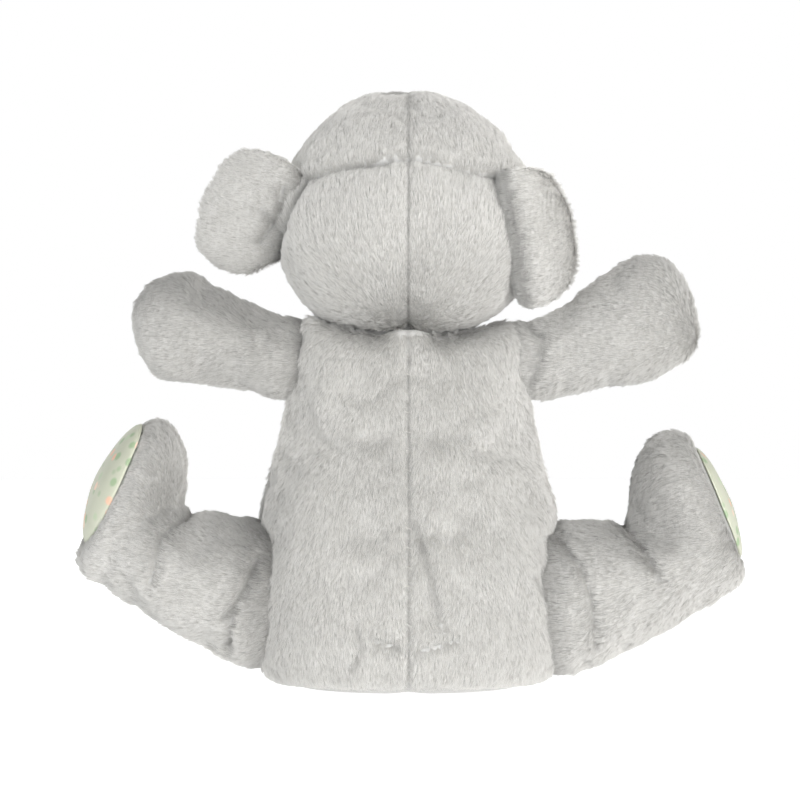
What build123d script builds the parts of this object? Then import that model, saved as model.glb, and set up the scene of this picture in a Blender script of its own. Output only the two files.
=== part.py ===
"""Stuffed toy elephant, sitting: sewn plush panels over separate wads of filling.

Frame: millimetres, +Z up, the toy looks along -Y and its own left side is at +X.
The origin is the middle of the flat seat panel, on the surface that the toy sits on.
Every sewn part is a skin, cut into its panels along the seams, round its own filling.
"""

import os
from math import cos, radians, sin, tan

from build123d import *

# ---------------------------------------------------------------- driving sizes
SKIN = 2.4          # a plush panel with its pile pressed down
EASE = 0.3          # free space between a skin and its filling, and across a seam
FAR = 400.0         # larger than the toy, for cutting blocks

# Elliptical sections: place along the axis, half width, half depth, centre offsets.
# The torso and head stack up Z: (z, half width in X, half depth in Y, centre y).
TORSO = [
    (0.0, 60, 45, -1), (6, 69, 52, -2), (20, 74, 57, -3), (50, 75.5, 60, -4), (85, 73, 57, -4),
    (120, 66, 49, -2), (150, 60, 41, 0), (172, 56, 32, 1), (186, 50, 17, 2),
]
HEAD = [
    (186.0, 24, 18, 2), (190, 41, 34, 3), (197, 53, 46, 3), (208, 60.5, 55, 2), (224, 66, 62, 1),
    (240, 65, 62, -1), (256, 59, 57.5, -5), (272, 51, 49, -11), (286, 38, 37, -17), (296, 21, 21, -20),
    (301, 5, 5, -22),
]
SEAT = dict(half_width=58.0, half_depth=43.0, centre_y=-1.0, thick=2.4)

# The neck: a rolled wad of filling, a shank below and a ball above.
NECK = dict(y=2.0, shank_r=19.0, foot_z=160.0, ball_z=207.0, ball_r=24.0, ease=0.6)
NECK_WAY_OUT = dict(top_r=17.1, flare=24.0, drop=60.0)   # opening under the head, wider below to let it nod
DISH = dict(half_x=54.0, half_y=64.0, half_z=30.0)       # hollow in the torso that the head rests in

# The trunk hangs from a ball at the front of the face: (y, z, radius) along it.
TRUNK_ROOT = dict(y=-61.0, z=221.0, ball_r=23.0, ease=1.0)
TRUNK = [(-70.0, 218.0, 20.5), (-84, 209, 18.5), (-96, 193, 16.5), (-102, 173, 14.5), (-108, 155, 13)]
TRUNK_TURN = [24.0, 44, 64, 78, 66]   # degrees that the trunk points down at each section
TRUNK_UNDER_HALF = 9.1                # half width of the panel under the trunk

# Ears: outline in the plane of the ear, (out from the hinge line, along the hinge line).
EAR_OUTLINE = [(0.0, -19), (10, -27), (26, -29), (39, -17), (41, 4), (34, 24), (16, 33), (0, 23)]
EAR_FOOT, EAR_HEAD = (74.2, 4.0, 214.0), (61.2, 26.0, 257.0)   # ends of the left hinge line
EAR_LAYER, EAR_ROLL = 3.6, 3.0       # thickness of each layer, radius of the rolled root
EAR_ROOT_ROOM = 6.5                  # the outer layers stop this far from the hinge line, to swing clear
BATTING_SHARE, BATTING_SHIFT = 0.9, 1.5   # the middle layer is smaller than the outer two, and set out
EAR_SWING = {1: 0.0, -1: 38.0}       # the right ear (-1) is folded back further than the left

# Arms stack outwards: (x, half height in Z, half depth in Y, centre z).
ARM = [
    (68.0, 20.0, 6, 166), (77, 23, 16, 169), (86, 24, 20, 172), (100, 26, 22, 176), (118, 28, 23, 180),
    (131, 23, 18, 183), (138, 10, 8, 185),
]
ARM_HINGE = dict(foot=(70.3, 0.0, 148.0), head=(64.5, 0.0, 180.0), roll=8.0)

# Legs: (x, half height, half depth, centre z), then a boot-shaped foot across the end.
LEG = [
    (87.0, 35.5, 10.5, 49), (93, 35.5, 24, 51), (108, 34, 31, 58), (122, 33, 33, 66), (134, 30, 31, 74),
]
LEG_HINGE = dict(foot=(87.0, -2.0, 24.0), head=(87.0, -2.0, 74.0), roll=10.5)
FOOT_TILT = 26.0    # degrees that the sole faces up from straight sideways
FOOT_AXIS_AT = (146.5, 0.0, 96.5)    # middle of the sole
# Foot sections: (distance inside the sole, half length up the foot, half width).
FOOT = [(36.0, 26, 22), (26, 40, 30), (12, 45, 33), (0, 40, 29)]
SOLE_THICK, SOLE_BULGE, SOLE_RIM = 2.4, 3.0, 2.0

# Eyes: a domed button with a ribbed stem, pushed through the face into a locking washer.
EYE_AT = (28.0, 250.0)               # (x, z) of the left eye
EYE = dict(radius=6.0, height=3.7, stand_off=0.4)
STEM = dict(radius=1.8, length=13.0, overlap=0.7, ease=0.2)
WASHER = dict(radius=8.0, thick=1.6, depth=3.7, ease=0.1)

# The bag of pellets that weights the seat, and the ladder stitch that closes the back.
BAG = dict(z=16.0, half_width=44.0, half_depth=32.0, half_height=12.0, wall=0.8)
STITCH = dict(low=36.5, high=158.0, pitch=9.3, radius=0.5, reach=2.4)

# The seam round the head from the crown down behind the ears, seen from the side: (y, z).
HEAD_SEAM = [(22.0, 257.0), (46, 264), (110, 283), (110, 150), (-29, 150)]


# ---------------------------------------------------------------- shared shapes
def stack(rows, inset=0.0):
    """Loft up Z through (z, half width, half depth, centre y)."""
    last = len(rows) - 1
    sections = []
    for i, (z, a, b, y) in enumerate(rows):
        z += inset if i == 0 else -inset if i == last else 0
        plane = Plane(origin=(0, y, z), x_dir=(0, 1, 0), z_dir=(0, 0, 1))
        sections.append(plane * Ellipse(b - inset, a - inset))
    return loft(sections)


def sideways(rows, inset=0.0):
    """Loft along +X through (x, half height, half depth, centre z)."""
    last = len(rows) - 1
    sections = []
    for i, (x, tall, deep, z) in enumerate(rows):
        x += inset if i == 0 else -inset if i == last else 0
        plane = Plane(origin=(x, 0, z), x_dir=(0, 1, 0), z_dir=(1, 0, 0))
        sections.append(plane * Ellipse(deep - inset, tall - inset))
    return loft(sections)


def block(x=(-FAR, FAR), y=(-FAR, FAR), z=(-FAR, FAR)):
    """A cutting block between limits."""
    size = [hi - lo for lo, hi in (x, y, z)]
    centre = [(hi + lo) / 2 for lo, hi in (x, y, z)]
    return Pos(*centre) * Box(*size)


def prism(outline):
    """A (y, z) outline pulled right across the toy along X."""
    side_on = Plane(origin=(-FAR, 0, 0), x_dir=(0, 1, 0), z_dir=(1, 0, 0))
    return extrude(side_on * make_face(Polyline(*outline, close=True)), 2 * FAR)


def ellipsoid(centre, half_x, half_y, half_z):
    return Pos(*centre) * scale(Sphere(1), (half_x, half_y, half_z))


def rod(foot, head, radius):
    """A round bar between two points."""
    start, way = Vector(*foot), Vector(*head) - Vector(*foot)
    return extrude(Plane(origin=start, z_dir=way) * Circle(radius), way.length)


def rolled_root(hinge, inset):
    """The rounded edge of a limb along its hinge line."""
    foot, head = Vector(*hinge["foot"]), Vector(*hinge["head"])
    way = (head - foot).normalized() * inset
    return rod(foot + way, head - way, hinge["roll"] - inset)


def halves(skin):
    """Left and right panels either side of the middle seam."""
    return skin & block(x=(EASE / 2, FAR)), skin & block(x=(-FAR, -EASE / 2))


def save(shape, name):
    """Write one node, as its separate solids."""
    solids = shape.solids()
    export_step(Compound(children=list(solids)) if len(solids) > 1 else solids[0], f"parts/{name}.step")


def save_pair(shape, name):
    """Write a left part, and its mirror image as the right one."""
    save(shape, f"{name}_left")
    save(mirror(shape, about=Plane.YZ), f"{name}_right")


# ---------------------------------------------------------------- torso
def rest_hollow(grow=0.0):
    """The hollow in the top of the torso that the head rests in."""
    sizes = [DISH[key] + grow for key in ("half_x", "half_y", "half_z")]
    return ellipsoid((0, NECK["y"], NECK["ball_z"]), *sizes)


def seat_disc(grow, thick):
    """The oval under the torso, from the ground up."""
    oval = Ellipse(SEAT["half_width"] + grow, SEAT["half_depth"] + grow)
    return Pos(0, SEAT["centre_y"], 0) * extrude(oval, thick)


def neck_hole():
    """The round hole in the torso that the neck turns in, open at the top."""
    foot = NECK["foot_z"] - EASE
    return Pos(0, NECK["y"], foot + FAR / 2) * Cylinder(NECK["shank_r"] + NECK["ease"], FAR)


def torso():
    outer = stack(TORSO) - rest_hollow()
    inner = stack(TORSO, SKIN) - rest_hollow(SKIN)
    skin = outer - inner - neck_hole() - seat_disc(EASE, SKIN + EASE)
    for half, name in ((block(y=(EASE / 2, FAR)), "back_panel"), (block(y=(-FAR, -EASE / 2)), "belly_panel")):
        left, right = halves(skin & half)
        save(left, f"{name}_left")
        save(right, f"{name}_right")
    save(seat_disc(0, SEAT["thick"]), "seat_panel")
    bag_room = pellet_bag()
    filling = stack(TORSO, SKIN + EASE) - rest_hollow(SKIN + EASE) - block(z=(-FAR, SEAT["thick"] + EASE))
    save(filling - neck_hole() - bag_room, "body_filling")


def pellet_bag():
    """Save the bag and its pellets, and give the room that they need."""
    def egg(grow):
        sizes = [BAG[key] + grow for key in ("half_width", "half_depth", "half_height")]
        return ellipsoid((0, SEAT["centre_y"], BAG["z"]), *sizes)

    save(egg(0) - egg(-BAG["wall"]), "pellet_bag")
    save(egg(-BAG["wall"] - EASE), "pellets")
    return egg(EASE)


def closing_stitch():
    """Rungs of thread across the middle back seam, sunk in the pile."""
    count = int((STITCH["high"] - STITCH["low"]) / STITCH["pitch"]) + 1
    rung = Rot(0, 90, 0) * Cylinder(STITCH["radius"], STITCH["reach"])
    heights = [STITCH["low"] + i * STITCH["pitch"] for i in range(count)]
    rungs = [Pos(0, back_y(z) - STITCH["radius"], z) * rung for z in heights]
    save(Compound(children=rungs), "closing_stitch")


def back_y(z):
    """How far back the torso reaches at a height, straight between its sections."""
    for low, high in zip(TORSO, TORSO[1:]):
        if low[0] <= z <= high[0]:
            share = (z - low[0]) / (high[0] - low[0])
            return (low[3] + low[2]) * (1 - share) + (high[3] + high[2]) * share
    raise ValueError("height outside the torso")


# ---------------------------------------------------------------- neck and head
def neck():
    centre = (0, NECK["y"], NECK["ball_z"])
    shank = rod((0, NECK["y"], NECK["foot_z"]), centre, NECK["shank_r"])
    save(shank + Pos(*centre) * Sphere(NECK["ball_r"]), "neck_filling")


def neck_opening():
    """The room in the head for the ball, and a flared way out below it."""
    drop, top_r = NECK_WAY_OUT["drop"], NECK_WAY_OUT["top_r"]
    foot_r = top_r + drop * tan(radians(NECK_WAY_OUT["flare"]))
    way_out = Pos(0, NECK["y"], NECK["ball_z"] - drop / 2) * Cone(foot_r, top_r, drop)
    return Pos(0, NECK["y"], NECK["ball_z"]) * Sphere(NECK["ball_r"] + NECK["ease"]) + way_out


def head():
    root = Pos(0, TRUNK_ROOT["y"], TRUNK_ROOT["z"]) * Sphere(TRUNK_ROOT["ball_r"] + TRUNK_ROOT["ease"])
    room = neck_opening()
    skin = stack(HEAD) - stack(HEAD, SKIN) - room - root
    filling = stack(HEAD, SKIN + EASE) - room - root
    for side in (1, -1):
        eye, washer, hole, pocket = eye_parts(side)
        skin = skin - hole
        filling = filling - pocket
        save(eye, f"eye_{NAMES[side]}")
        save(washer, f"eye_washer_{NAMES[side]}")
    back = prism(HEAD_SEAM)
    back_left, back_right = halves(skin & back)
    save(back_left, "head_back_panel_left")
    save(back_right, "head_back_panel_right")
    face_left, face_right = halves(skin - prism(grown_seam()))
    save(face_left, "face_panel_left")
    save(face_right, "face_panel_right")
    save(filling, "head_filling")


def grown_seam():
    """The outline of the back of the head, grown by the seam's ease."""
    (y0, z0), (y1, z1), (y2, z2), corner, (y4, z4) = HEAD_SEAM
    return [(y0 - EASE, z0 + EASE), (y1 - EASE, z1 + EASE), (y2, z2 + EASE), corner, (y4 - EASE, z4)]


def eye_parts(side):
    """One eye: button with stem, its washer, the hole through the skin and the pocket in the filling."""
    x, z = EYE_AT
    hits = stack(HEAD).find_intersection_points(Axis((side * x, 0, z), (0, -1, 0)))
    at, normal = min(hits, key=lambda hit: hit[0].Y)
    plane = Plane(origin=at, z_dir=normal if normal.Y < 0 else -normal)
    ball = Pos(0, 0, EYE["stand_off"]) * scale(Sphere(1), (EYE["radius"], EYE["radius"], EYE["height"]))
    dome = ball & block(z=(EYE["stand_off"], FAR))
    stem_foot = STEM["overlap"] - STEM["length"]
    stem = Pos(0, 0, stem_foot + STEM["length"] / 2) * Cylinder(STEM["radius"], STEM["length"])
    ring = Circle(WASHER["radius"]) - Circle(STEM["radius"] + WASHER["ease"])
    washer = Pos(0, 0, -WASHER["depth"] - WASHER["thick"]) * extrude(ring, WASHER["thick"])
    hole = Cylinder(STEM["radius"] + STEM["ease"], 2 * STEM["length"])
    washer_room = Cylinder(WASHER["radius"] + EASE, 2 * (WASHER["depth"] + WASHER["thick"] + EASE))
    return plane * (dome + stem), plane * washer, plane * hole, plane * (washer_room + hole)


# ---------------------------------------------------------------- trunk
def trunk_solid(inset):
    ball = Pos(0, TRUNK_ROOT["y"], TRUNK_ROOT["z"]) * Sphere(TRUNK_ROOT["ball_r"] - inset)
    sections = []
    last = len(TRUNK) - 1
    for i, ((y, z, r), down) in enumerate(zip(TRUNK, TRUNK_TURN)):
        way = Vector(0, -cos(radians(down)), -sin(radians(down)))
        at = Vector(0, y, z) - way * (inset if i == last else 0)
        sections.append(Plane(origin=at, x_dir=(1, 0, 0), z_dir=way) * Circle(r - inset))
    return ball + loft(sections)


def trunk():
    """The upper panels wrap the bridge and sides; the narrow under panel closes them from below."""
    skin = trunk_solid(0) - trunk_solid(SKIN)
    behind = prism(behind_trunk())
    save(skin & behind & block(x=(-TRUNK_UNDER_HALF, TRUNK_UNDER_HALF)), "trunk_under_panel")
    room = TRUNK_UNDER_HALF + EASE
    left, right = halves(skin - (behind & block(x=(-room, room))))
    save(left, "trunk_panel_left")
    save(right, "trunk_panel_right")
    save(trunk_solid(SKIN + EASE), "trunk_filling")


def behind_trunk():
    """A (y, z) outline of all that lies on the chest's side of the trunk's middle line."""
    line = [(y, z) for y, z, _ in TRUNK]
    tip_y, tip_z = line[-1]
    past_tip = (tip_y - 12, tip_z - 30)
    inside_head_y = 20
    root = (TRUNK_ROOT["y"], TRUNK_ROOT["z"])
    return [root, *line, past_tip, (inside_head_y, past_tip[1]), (inside_head_y, root[1])]


# ---------------------------------------------------------------- ears
def ear_plane(side, swing):
    """The plane of an ear: x out from the hinge line, z towards the toy's back."""
    foot = Vector(side * EAR_FOOT[0], EAR_FOOT[1], EAR_FOOT[2])
    top = Vector(side * EAR_HEAD[0], EAR_HEAD[1], EAR_HEAD[2])
    along = (top - foot).normalized()
    out = Vector(side, 0, 0)
    out = (out - along * out.dot(along)).normalized()
    out = out.rotate(Axis((0, 0, 0), tuple(along)), side * swing)
    return Plane(origin=(foot + top) * 0.5, x_dir=out, z_dir=along.cross(out) * side)


def ear(side):
    """Plush back, cotton lining and a thinner batting between them that rolls round the hinge line."""
    plane = ear_plane(side, EAR_SWING[side])
    points = [(out, -side * along) for out, along in EAR_OUTLINE]
    middle = sum(y for _, y in points) / len(points)
    small = [(BATTING_SHIFT + x * BATTING_SHARE, middle + (y - middle) * BATTING_SHARE) for x, y in points]
    root_length = abs(small[0][1] - small[-1][1])
    root_line = plane * Pos(0, (small[0][1] + small[-1][1]) / 2, 0) * Rot(90, 0, 0)
    layer = plane * Pos(0, 0, -EAR_LAYER / 2)
    batting = layer * extrude(outline_face(small), EAR_LAYER)
    save(batting + root_line * Cylinder(EAR_ROLL, root_length), f"ear_batting_{NAMES[side]}")
    root_room = root_line * Cylinder(EAR_ROOT_ROOM, FAR)
    for name, lift in (("ear_back_panel", EAR_LAYER + EASE), ("ear_lining", -EAR_LAYER - EASE)):
        cover = layer * Pos(0, 0, lift) * extrude(outline_face(points), EAR_LAYER)
        save(cover - root_room, f"{name}_{NAMES[side]}")


def outline_face(points):
    """A flat face inside a smooth outline with one straight edge, at the hinge line."""
    return make_face(Spline(*points) + Line(points[-1], points[0]))


# ---------------------------------------------------------------- arms
def arm_solid(inset):
    return sideways(ARM, inset) + rolled_root(ARM_HINGE, inset)


def arms():
    skin = arm_solid(0) - arm_solid(SKIN)
    save_pair(skin & block(y=(EASE / 2, FAR)), "arm_back_panel")
    save_pair(skin & block(y=(-FAR, -EASE / 2)), "arm_front_panel")
    save_pair(arm_solid(SKIN + EASE), "arm_filling")


# ---------------------------------------------------------------- legs
def foot_plane(inside=0.0):
    """A plane across the foot, a distance inside the sole."""
    tilt = radians(FOOT_TILT)
    way = Vector(cos(tilt), 0, sin(tilt))
    return Plane(origin=Vector(*FOOT_AXIS_AT) - way * inside, x_dir=(0, 1, 0), z_dir=way)


def foot_solid(inset):
    sections = []
    for i, (inside, long, wide) in enumerate(FOOT):
        inside -= inset if i == 0 else 0
        sections.append(foot_plane(inside) * Ellipse(wide - inset, long - inset))
    return loft(sections)


def leg_solid(inset):
    return sideways(LEG, inset) + foot_solid(inset) + rolled_root(LEG_HINGE, inset)


def legs():
    skin = leg_solid(0) - leg_solid(SKIN)
    save_pair(skin & block(y=(EASE / 2, FAR)), "leg_back_panel")
    save_pair(skin & block(y=(-FAR, -EASE / 2)), "leg_front_panel")
    save_pair(leg_solid(SKIN + EASE), "leg_filling")
    save_pair(sole_pad(), "sole_pad")


def sole_pad():
    """A stiffened oval over the end of the foot, with a low crown."""
    _, long, wide = FOOT[-1]
    pad = extrude(Ellipse(wide, long), SOLE_THICK)
    crown = Pos(0, 0, SOLE_THICK) * scale(Sphere(1), (wide - SOLE_RIM, long - SOLE_RIM, SOLE_BULGE))
    return foot_plane(-EASE) * (pad + (crown & block(z=(SOLE_THICK, FAR))))


NAMES = {1: "left", -1: "right"}
os.makedirs("parts", exist_ok=True)
torso()
closing_stitch()
neck()
head()
trunk()
for ear_side in (1, -1):
    ear(ear_side)
arms()
legs()
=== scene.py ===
import math

import bmesh
import bpy
import numpy as np
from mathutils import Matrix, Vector


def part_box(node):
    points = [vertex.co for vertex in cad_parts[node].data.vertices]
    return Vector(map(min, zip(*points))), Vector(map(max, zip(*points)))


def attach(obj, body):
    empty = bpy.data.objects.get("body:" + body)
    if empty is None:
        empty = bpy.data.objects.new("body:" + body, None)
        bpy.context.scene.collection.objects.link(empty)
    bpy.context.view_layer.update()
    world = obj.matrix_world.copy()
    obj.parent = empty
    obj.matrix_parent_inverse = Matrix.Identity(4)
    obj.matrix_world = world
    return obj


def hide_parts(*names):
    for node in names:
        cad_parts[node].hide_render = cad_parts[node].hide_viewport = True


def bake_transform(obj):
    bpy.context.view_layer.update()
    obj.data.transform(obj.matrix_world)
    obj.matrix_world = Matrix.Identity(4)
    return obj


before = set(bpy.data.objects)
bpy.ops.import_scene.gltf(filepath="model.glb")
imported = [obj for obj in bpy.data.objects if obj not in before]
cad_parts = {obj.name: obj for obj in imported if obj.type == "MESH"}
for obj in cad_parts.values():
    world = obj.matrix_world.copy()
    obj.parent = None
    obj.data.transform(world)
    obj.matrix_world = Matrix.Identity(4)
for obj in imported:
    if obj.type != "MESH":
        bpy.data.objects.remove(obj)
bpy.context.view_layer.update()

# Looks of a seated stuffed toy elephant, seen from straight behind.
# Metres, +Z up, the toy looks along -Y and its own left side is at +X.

MM = 0.001
LEFT, RIGHT = 1, -1     # the toy's own sides, as the sign of X
NAMES = {LEFT: "left", RIGHT: "right"}

# ---------------------------------------------------------------- shapes, in millimetres
# Upright sections: (z, half width, half depth, centre y).
TORSO = [
    (1.4, 1, 1, -1), (1.2, 30, 22, -1), (1.4, 52, 38, -1), (3.6, 65, 48, -2), (10, 72.5, 53, -3),
    (22, 75.5, 57, -3.5), (45, 76.2, 59.5, -4), (65, 75.2, 59, -4), (85, 73.3, 56.5, -4),
    (105, 68.8, 52, -3), (125, 64, 47.5, -2), (142, 61, 43, -0.5), (160, 57.5, 37, 0.5),
    (173, 55.5, 32.5, 1.5), (182, 53.5, 28, 2.5), (188.5, 49.5, 22, 3), (191.5, 43, 16, 3),
    (191.5, 34, 12, 3), (188, 16, 8, 3), (185, 1, 1, 3),
]
HEAD = [
    (178.5, 1, 1, 5), (179, 14, 12, 5), (182, 27, 25, 5), (187, 38, 36, 4.5), (194, 47.5, 45, 3.5),
    (204, 56, 52.5, 2.5), (214, 62, 58, 1.5), (227, 66, 60.5, 0.5), (241, 64.5, 60, -1.5),
    (256, 58.5, 56.5, -5), (269, 51.5, 50.5, -9), (280, 43, 43, -13), (289.5, 32, 32, -17),
    (296.5, 20, 20, -19.5), (300.3, 8, 8, -21), (301, 1, 1, -21),
]
NECK = [
    (170, 1, 1, 2), (171, 30, 18, 2), (176, 35, 21, 2), (184, 34, 23, 2), (192, 32, 23, 2),
    (197, 28, 20, 2), (198, 1, 1, 2),
]
# Sideways sections: (distance out, half height, half depth, centre z).
ARM = {
    LEFT: [(44, 1, 1, 165), (45, 13, 9, 165), (52, 19, 13, 165), (62.5, 21, 15.5, 166), (76, 22.5, 18, 170.5),
           (99, 24.5, 21.5, 178), (109, 27, 22, 181), (121.5, 26, 20.5, 180.5), (129, 20.5, 17, 183),
           (133.5, 13.5, 12, 184), (136, 7, 6, 186), (136.6, 1, 1, 186.5)],
    RIGHT: [(44, 1, 1, 165), (45, 13, 9, 165), (52, 19, 13, 165), (61, 20, 15.5, 165), (81, 23, 18.5, 171),
            (101, 29, 22, 180.5), (116, 32, 22.5, 185.5), (130, 27, 20, 187), (138, 20, 15, 184),
            (143, 11, 9, 181), (144.3, 1, 1, 180)],
}
LEG = {
    LEFT: [(56, 1, 1, 46), (57, 24, 18, 46), (68, 34.5, 26, 47), (79, 37, 29.5, 48), (95, 34.5, 31.5, 53),
           (109, 31, 31, 58), (122, 29.5, 31, 64), (134, 28.5, 29, 71), (143, 27, 25, 74), (150, 24, 20, 77),
           (155, 17, 15, 79), (157, 1, 1, 79)],
    RIGHT: [(56, 1, 1, 44), (57, 24, 18, 44), (68, 35, 26, 45), (79, 37.5, 29.5, 46), (96, 34.5, 31.5, 49.5),
            (112, 31, 31, 53), (124, 29.5, 31, 58), (138, 29, 29, 65), (146, 28, 26, 68.5), (153, 27, 24, 71),
            (159, 20, 18, 72), (161, 1, 1, 72)],
}
# Foot sections: (distance inside the sole, half length up the foot, half width).
FOOT = [
    (37, 1, 1), (36, 11, 9), (31, 24, 19), (22, 36.5, 27.5), (12, 43, 31.5), (6, 42, 31),
    (2.2, 38.5, 29), (0.8, 34, 26), (0.3, 1, 1),
]
FOOT_MIDDLE = {LEFT: (150.2, 0, 99), RIGHT: (155.6, 0, 93.5)}
FOOT_TILT = {LEFT: 25.0, RIGHT: 22.0}      # degrees that the sole looks up
FOOT_DEEP = {LEFT: 1.0, RIGHT: 1.2}        # how deep the foot is behind its sole, against FOOT
FOOT_YAW = {LEFT: 12.0, RIGHT: 1.5}        # degrees that the sole looks back
SOLE_HALF = {LEFT: (33.0, 27.0), RIGHT: (30.0, 26.5)}   # half length and half width
SOLE_UP = {LEFT: 5.0, RIGHT: 0.5}          # how far the sole's middle is up the foot from the foot's own
SOLE_BULGE = {LEFT: 9.0, RIGHT: 6.5}
SOLE_SINK = 0.9                            # how deep its rim lies behind the fur

TRUNK_ROOT = 226        # how high the trunk leaves the face
# Trunk: (y, z, radius, degrees that it points down).
TRUNK = [
    (-42, 226, 1, 10), (-43, 226, 17, 10), (-58, 223, 19, 14), (-70, 218, 18.8, 24),
    (-84, 209, 17, 44), (-96, 193, 15, 64), (-102, 173, 13, 78), (-106.5, 160, 12, 68),
    (-109, 154.5, 9.5, 66), (-110, 152.5, 1, 66),
]

# Ears. foot and head are the two ends of the root, on the head's side. The outline is (out, along the root)
# from the middle of the root. The heading is the way the ear points, in degrees, at a share of its reach.
# A crease is its line, its depth and its painted shade. The back is painted darker, a painted shade, from the
# root as far out as painted_shade_reach; tone_and_painted_shade is a painted shade over the whole ear.
EAR = {
    LEFT: dict(
        foot=(66.0, 3.0, 213.0), head=(52.0, 21.0, 256.0),
        heading=[(0, 4), (1, -14)],
        outline=[(-2, -21), (3, -25), (12, -33), (27, -34.5), (38, -29), (42.5, -13), (41.5, 7), (31, 28),
                 (13, 30), (2, 26), (-2, 20)],
        creases=[([(9, -14), (4, 2), (6, 16)], 1.6, 0.4), ([(4, -4), (13, 3)], 1.0, 0.25)],
        painted_shade_reach=0, tone_and_painted_shade=0.87),
    RIGHT: dict(
        foot=(54.0, 16.0, 209.0), head=(46.0, 28.0, 254.0),
        heading=[(0, 92), (0.28, 84), (0.44, 18), (0.5, -12), (0.75, -28), (1, -50)],
        outline=[(-2, -21), (5, -31), (18, -38), (34, -37), (44, -30), (49, -20), (49, -6), (47, 10),
                 (38, 26), (18, 30), (4, 25), (-2, 20)],
        creases=[([(23, -34), (24, 0), (23, 26)], 1.4, 0.3)],
        painted_shade_reach=23, tone_and_painted_shade=0.97),
}
EAR_MIDDLE = np.array([20.0, -2.0])    # what the ear's outline is drawn round
EAR_HALF = 5.0          # half the thickness of an ear's middle
EAR_FRONT = 0.8         # how thick the front half of an ear is, against its back half
LINING_SHARE = 0.93     # how far out the lining reaches
NOD_AT = (2.0, 207.0)   # y and z that the head nods about
NODS = (-2.0, 0.0, 6.0, 12.0)

# Seams and creases on the toy's back, as (x, z) lines.
HEAD_SEAM = [(-68, 203), (-61, 232), (-45.5, 251), (-20.5, 257), (1, 261.5), (26, 258), (50.5, 252),
             (60, 232), (68, 203)]
DARTS = [[(17, 31), (4, 26.5)], [(-6, 26.5), (-23, 30.5)]]
BACK_FOLD = [(-3.5, 87), (-9, 69), (-15.5, 39.5)]
NAPE_HOLLOWS = [[(37, 187), (26, 183), (15, 181)], [(-16, 180), (-30, 182), (-45, 187)]]
WRINKLES = [
    [(25, 38), (22, 26), (27, 17)], [(-60, 172), (-64, 158), (-62, 148)],
    [(-62, 60), (-70, 44), (-72, 30)], [(50, 178), (57, 168)],
]
HIP_CREASES = {
    LEFT: [[(72, 66), (78, 55), (89, 37)], [(83, 42), (88, 22)]],
    RIGHT: [[(74, 79), (86, 65), (92, 45), (94, 24)]],
}
ANKLE_CREASES = {
    LEFT: [[(104, 90), (112, 84), (119, 77), (125, 55)]],
    RIGHT: [[(108, 84), (115, 76), (122, 64), (126, 56)]],
}
ARM_CREASES = {LEFT: [], RIGHT: [[(62, 182), (69, 175), (67, 164), (63, 152)]]}
# Painted shade: how much darker the pile is painted in places on the limbs, and the painted light of each
# limb as a whole.
ARM_TOP_SHADE = {LEFT: 0.30, RIGHT: 0.16}
LEG_TOP_SHADE = {LEFT: 0.24, RIGHT: 0.26}
LEG_ROOT_SHADE = {LEFT: 0.26, RIGHT: 0.0}
INSTEP_SHADE = {LEFT: 0.06, RIGHT: 0.26}
ARM_PAINTED_LIGHT = {LEFT: 0.84, RIGHT: 0.90}
LEG_PAINTED_LIGHT = {LEFT: 0.95, RIGHT: 0.96}

NAP_MM = 400            # how much of a skin one unit of its nap map covers
VOXEL_MM = dict(body=4.0, limb=3.5, trunk=3.0)
SEAM_HOLD = 1.4         # how firmly a seam holds the skin on its line, where 1 is enough to keep it still
FAR_MM = 99             # a distance from a seam that the seam doesn't reach


# ---------------------------------------------------------------- mesh tools
def rise(value, start, span):
    """0 up to the start, rising to 1 over the span."""
    return np.clip((value - start) / span, 0, 1)


def fall(value, end, span):
    """1 until a span before the end, falling to 0 at it."""
    return np.clip((end - value) / span, 0, 1)


def bell(distance, width):
    """1 on a line, dying away to either side of it."""
    return np.exp(-(distance / width) ** 2)


def monotone(x, y, at):
    """A smooth curve through (x, y) that never overshoots its points, read at other places."""
    step = np.diff(x)
    slope = np.diff(y) / step
    both = slope[:-1] * slope[1:]
    total = np.where(both > 0, slope[:-1] + slope[1:], 1)
    tangent = np.zeros(len(x))
    tangent[1:-1] = np.where(both > 0, 2 * both / total, 0)
    tangent[0], tangent[-1] = slope[0], slope[-1]
    i = np.clip(np.searchsorted(x, at, side="right") - 1, 0, len(x) - 2)
    t = (at - x[i]) / step[i]
    start = (1 + 2 * t) * (1 - t) ** 2 * y[i] + t * (1 - t) ** 2 * step[i] * tangent[i]
    return start + t * t * (3 - 2 * t) * y[i + 1] + t * t * (t - 1) * step[i] * tangent[i + 1]


def along_rows(rows, count):
    """Rows of numbers, resampled evenly along their profile."""
    rows = np.array(rows, float)
    run = np.concatenate([[0], np.cumsum(np.linalg.norm(np.diff(rows, axis=0), axis=1))])
    at = np.linspace(0, run[-1], count)
    return np.column_stack([monotone(run, rows[:, k], at) for k in range(rows.shape[1])])


def tube(centres, firsts, seconds, columns=80):
    """Vertices (metres) and faces of a closed body through rings, each a centre and two half axes in mm."""
    turn = np.arange(columns) * 2 * math.pi / columns
    rings = (centres[:, None, :] + firsts[:, None, :] * np.cos(turn)[None, :, None]
             + seconds[:, None, :] * np.sin(turn)[None, :, None])
    count = len(centres)
    faces = []
    for r in range(count - 1):
        for c in range(columns):
            after = (c + 1) % columns
            low, high = r * columns, (r + 1) * columns
            faces.append((low + c, low + after, high + after, high + c))
    faces.append(tuple(range(columns))[::-1])
    faces.append(tuple((count - 1) * columns + c for c in range(columns)))
    return rings.reshape(-1, 3) * MM, faces


def upright(rows, count=90):
    """A closed body through level sections."""
    r = along_rows(rows, count)
    zero = np.zeros(count)
    return tube(np.column_stack([zero, r[:, 3], r[:, 0]]), np.column_stack([r[:, 1], zero, zero]),
                np.column_stack([zero, r[:, 2], zero]))


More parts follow.
